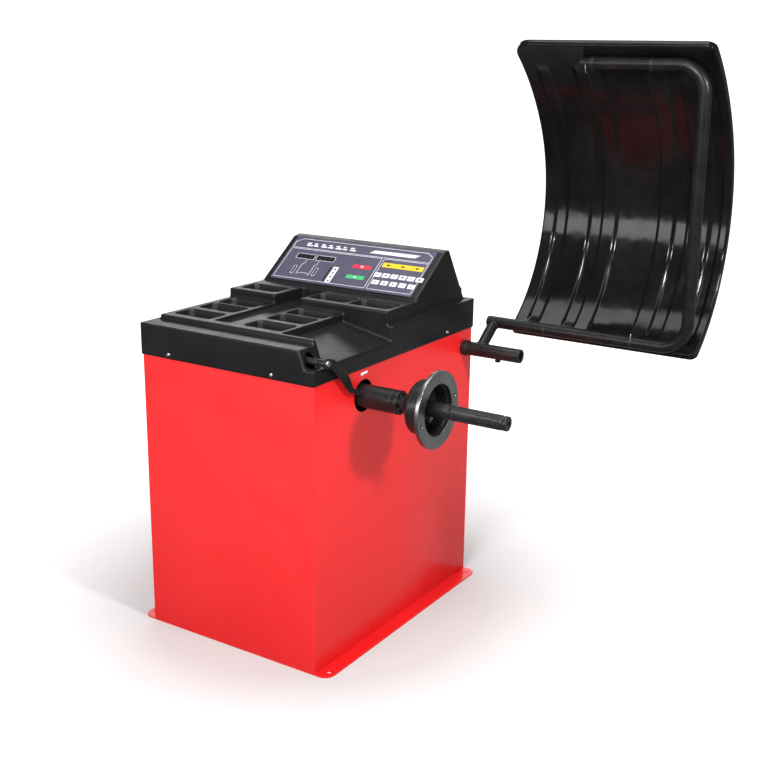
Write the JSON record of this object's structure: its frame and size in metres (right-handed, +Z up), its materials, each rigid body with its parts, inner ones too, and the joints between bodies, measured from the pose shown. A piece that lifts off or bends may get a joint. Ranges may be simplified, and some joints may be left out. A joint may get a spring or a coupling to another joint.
{
  "type": "wheel balancer machine",
  "caption": "Floor-standing wheel balancer: red cabinet, black weight tray and sloping console, side spindle with flange and threaded shaft, curved wheel guard raised.",
  "frame": {"origin": "on the floor, under the middle of the cabinet's footprint", "axes": "+Z up, +X out of the side that carries the spindle and guard, -Y towards the operator, whom the console faces"},
  "size_m": [1.193, 1.0088, 1.507],
  "materials": {
    "red_paint": "smooth powder coat, satin gloss",
    "black_plastic": "fine moulded grain",
    "black_steel": "black coating, satin",
    "bright_steel": "turned and brushed",
    "gloss_black": "polished vacuum-formed sheet",
    "panel_grey": "printed film, satin",
    "smoked_window": "smoked, glossy",
    "key_white": "satin",
    "key_red": "satin",
    "key_green": "satin",
    "board_green": "solder mask",
    "belt_rubber": "dull",
    "white_plastic": "natural nylon"
  },
  "bodies": {
    "machine": {"base_plate": "red_paint", "cabinet_front": "red_paint", "cabinet_rear": "red_paint", "top_cover": "black_plastic", "cover_screw_front_left": "bright_steel", "cover_screw_front_right": "bright_steel", "cover_screw_side": "bright_steel", "display_overlay": "panel_grey", "display_window_left": "smoked_window", "display_window_right": "smoked_window", "display_board": "board_green", "shaft_housing": "black_steel", "bearing_inner": "bright_steel", "bearing_outer": "bright_steel", "spindle_bracket": "black_steel", "support_beam": "black_steel", "force_sensor_inner": "bright_steel", "force_sensor_outer": "bright_steel", "encoder_sensor": "black_plastic", "motor_body": "black_steel", "motor_bracket": "black_steel", "drive_belt": "belt_rubber", "main_board": "board_green", "switch_frame": "black_plastic", "cord_inlet": "black_plastic", "gauge_bush": "black_plastic", "guard_collar": "black_steel", "guard_bracket": "black_steel", "guard_switch": "black_plastic"},
    "spindle": {"main_shaft": "bright_steel", "spindle_pulley": "black_steel", "encoder_disc": "bright_steel", "flange_bell": "black_steel", "flange_ring": "bright_steel", "threaded_shaft": "black_steel"},
    "motor": {"motor_pulley": "bright_steel"},
    "guard": {"guard_shaft": "bright_steel", "guard_tube": "black_steel", "guard_bolt": "black_steel", "guard_arm": "black_steel", "guard_frame": "black_steel", "guard_shell": "gloss_black"},
    "gauge_slider": {"gauge_carriage": "white_plastic"},
    "gauge_swing": {"gauge_rod": "black_steel", "gauge_arm": "black_steel", "gauge_screw": "bright_steel"},
    "switch": {"switch_rocker": "red_paint"},
    "key_upper_1_body": {"key_upper_1": "key_white"},
    "key_upper_2_body": {"key_upper_2": "key_white"},
    "key_upper_3_body": {"key_upper_3": "key_white"},
    "key_upper_4_body": {"key_upper_4": "key_white"},
    "key_upper_5_body": {"key_upper_5": "key_white"},
    "key_upper_6_body": {"key_upper_6": "key_white"},
    "key_lower_1_body": {"key_lower_1": "key_white"},
    "key_lower_2_body": {"key_lower_2": "key_white"},
    "key_lower_3_body": {"key_lower_3": "key_white"},
    "key_lower_4_body": {"key_lower_4": "key_white"},
    "key_lower_5_body": {"key_lower_5": "key_white"},
    "key_stop_body": {"key_stop": "key_red"},
    "key_start_body": {"key_start": "key_green"}
  },
  "joints": [
    {"name": "spindle_spin", "type": "hinge", "parent": "machine", "child": "spindle", "pos_m": [0.4, -0.168, 0.667], "axis": [1, 0, 0], "continuous": true},
    {"name": "motor_spin", "type": "hinge", "parent": "machine", "child": "motor", "pos_m": [0.04, -0.168, 0.42], "axis": [1, 0, 0], "continuous": true},
    {"name": "guard_swing", "type": "hinge", "parent": "machine", "child": "guard", "pos_m": [0.36, 0.329, 0.686], "axis": [1, 0, 0], "range_deg": [0, 72]},
    {"name": "gauge_slide", "type": "slide", "parent": "machine", "child": "gauge_slider", "axis": [1, 0, 0], "range_m": [0, 0.09], "stiffness_N_per_m": 40},
    {"name": "gauge_turn", "type": "hinge", "parent": "gauge_slider", "child": "gauge_swing", "pos_m": [0.28, -0.347, 0.788], "axis": [1, 0, 0], "range_deg": [0, 80]},
    {"name": "switch_rock", "type": "hinge", "parent": "machine", "child": "switch", "pos_m": [-0.165, 0.371, 0.6], "axis": [1, 0, 0], "range_deg": [-14, 0]},
    {"name": "key_upper_1_press", "type": "slide", "parent": "machine", "child": "key_upper_1_body", "axis": [0, 0.5889, -0.8082], "range_m": [0, 0.0006], "stiffness_N_per_m": 1500},
    {"name": "key_upper_2_press", "type": "slide", "parent": "machine", "child": "key_upper_2_body", "axis": [0, 0.5889, -0.8082], "range_m": [0, 0.0006], "stiffness_N_per_m": 1500},
    {"name": "key_upper_3_press", "type": "slide", "parent": "machine", "child": "key_upper_3_body", "axis": [0, 0.5889, -0.8082], "range_m": [0, 0.0006], "stiffness_N_per_m": 1500},
    {"name": "key_upper_4_press", "type": "slide", "parent": "machine", "child": "key_upper_4_body", "axis": [0, 0.5889, -0.8082], "range_m": [0, 0.0006], "stiffness_N_per_m": 1500},
    {"name": "key_upper_5_press", "type": "slide", "parent": "machine", "child": "key_upper_5_body", "axis": [0, 0.5889, -0.8082], "range_m": [0, 0.0006], "stiffness_N_per_m": 1500},
    {"name": "key_upper_6_press", "type": "slide", "parent": "machine", "child": "key_upper_6_body", "axis": [0, 0.5889, -0.8082], "range_m": [0, 0.0006], "stiffness_N_per_m": 1500},
    {"name": "key_lower_1_press", "type": "slide", "parent": "machine", "child": "key_lower_1_body", "axis": [0, 0.5889, -0.8082], "range_m": [0, 0.0006], "stiffness_N_per_m": 1500},
    {"name": "key_lower_2_press", "type": "slide", "parent": "machine", "child": "key_lower_2_body", "axis": [0, 0.5889, -0.8082], "range_m": [0, 0.0006], "stiffness_N_per_m": 1500},
    {"name": "key_lower_3_press", "type": "slide", "parent": "machine", "child": "key_lower_3_body", "axis": [0, 0.5889, -0.8082], "range_m": [0, 0.0006], "stiffness_N_per_m": 1500},
    {"name": "key_lower_4_press", "type": "slide", "parent": "machine", "child": "key_lower_4_body", "axis": [0, 0.5889, -0.8082], "range_m": [0, 0.0006], "stiffness_N_per_m": 1500},
    {"name": "key_lower_5_press", "type": "slide", "parent": "machine", "child": "key_lower_5_body", "axis": [0, 0.5889, -0.8082], "range_m": [0, 0.0006], "stiffness_N_per_m": 1500},
    {"name": "key_stop_press", "type": "slide", "parent": "machine", "child": "key_stop_body", "axis": [0, 0.5889, -0.8082], "range_m": [0, 0.0006], "stiffness_N_per_m": 1500},
    {"name": "key_start_press", "type": "slide", "parent": "machine", "child": "key_start_body", "axis": [0, 0.5889, -0.8082], "range_m": [0, 0.0006], "stiffness_N_per_m": 1500}
  ],
  "couplings": [
    {"joint": "motor_spin", "follows": "spindle_spin", "ratio": 3}
  ]
}
